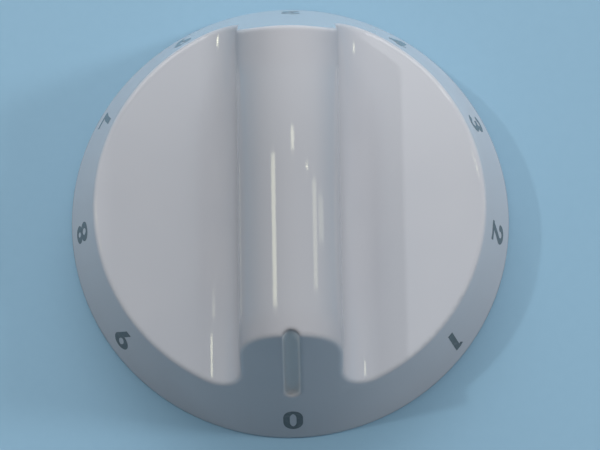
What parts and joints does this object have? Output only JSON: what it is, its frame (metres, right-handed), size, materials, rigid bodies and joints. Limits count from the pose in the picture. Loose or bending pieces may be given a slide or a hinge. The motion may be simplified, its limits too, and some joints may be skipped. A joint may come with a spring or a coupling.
{
  "type": "control knob",
  "caption": "Round white appliance control knob: tapered dial with flat shelves, a half-round grip with a pointer groove, printed numbers, and a hollow underside with a shaft socket.",
  "frame": {"origin": "centre of the rim, on the knob's axis, in the plane that the rim rests on", "axes": "+Z along the axis from the rim to the crown of the grip; -Y towards the pointer groove; the grip runs along Y"},
  "size_m": [0.05, 0.05, 0.0214],
  "materials": {
    "white_plastic": "glossy moulded white plastic, faintly cool",
    "spring_steel": "bare rolled spring steel",
    "dial_ink": "dark grey pad-printed ink"
  },
  "bodies": {
    "root": {"knob_body": "white_plastic", "boss_spring": "spring_steel"}
  },
  "joints": []
}
